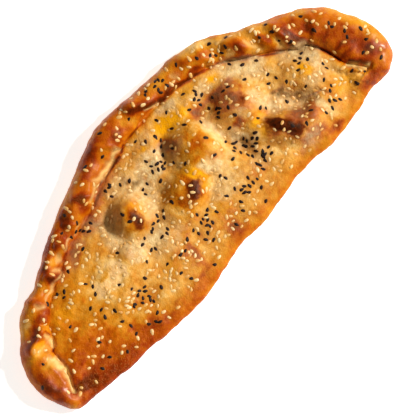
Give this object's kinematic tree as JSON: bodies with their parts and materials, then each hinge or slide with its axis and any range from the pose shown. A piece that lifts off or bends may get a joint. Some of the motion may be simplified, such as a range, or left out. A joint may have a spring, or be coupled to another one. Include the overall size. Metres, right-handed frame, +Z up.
{
  "type": "folded stuffed flatbread",
  "caption": "Half-moon stuffed flatbread with a rolled and pleated rim, a blistered golden crust, and sesame and nigella seeds baked on.",
  "frame": {"origin": "middle of the bread's box, on the surface that it rests on", "axes": "+X along the bread towards its thick end, +Y towards the rolled rim, +Z up"},
  "size_m": [0.3187, 0.1238, 0.0236],
  "materials": {
    "crust": "egg-washed golden crust, browner on the rim and the blisters, paler in the middle",
    "sesame": "toasted sesame seeds, ivory to tan",
    "nigella": "near-black nigella seeds, dull"
  },
  "bodies": {
    "root": {"seeded_bread": "crust"}
  },
  "joints": []
}
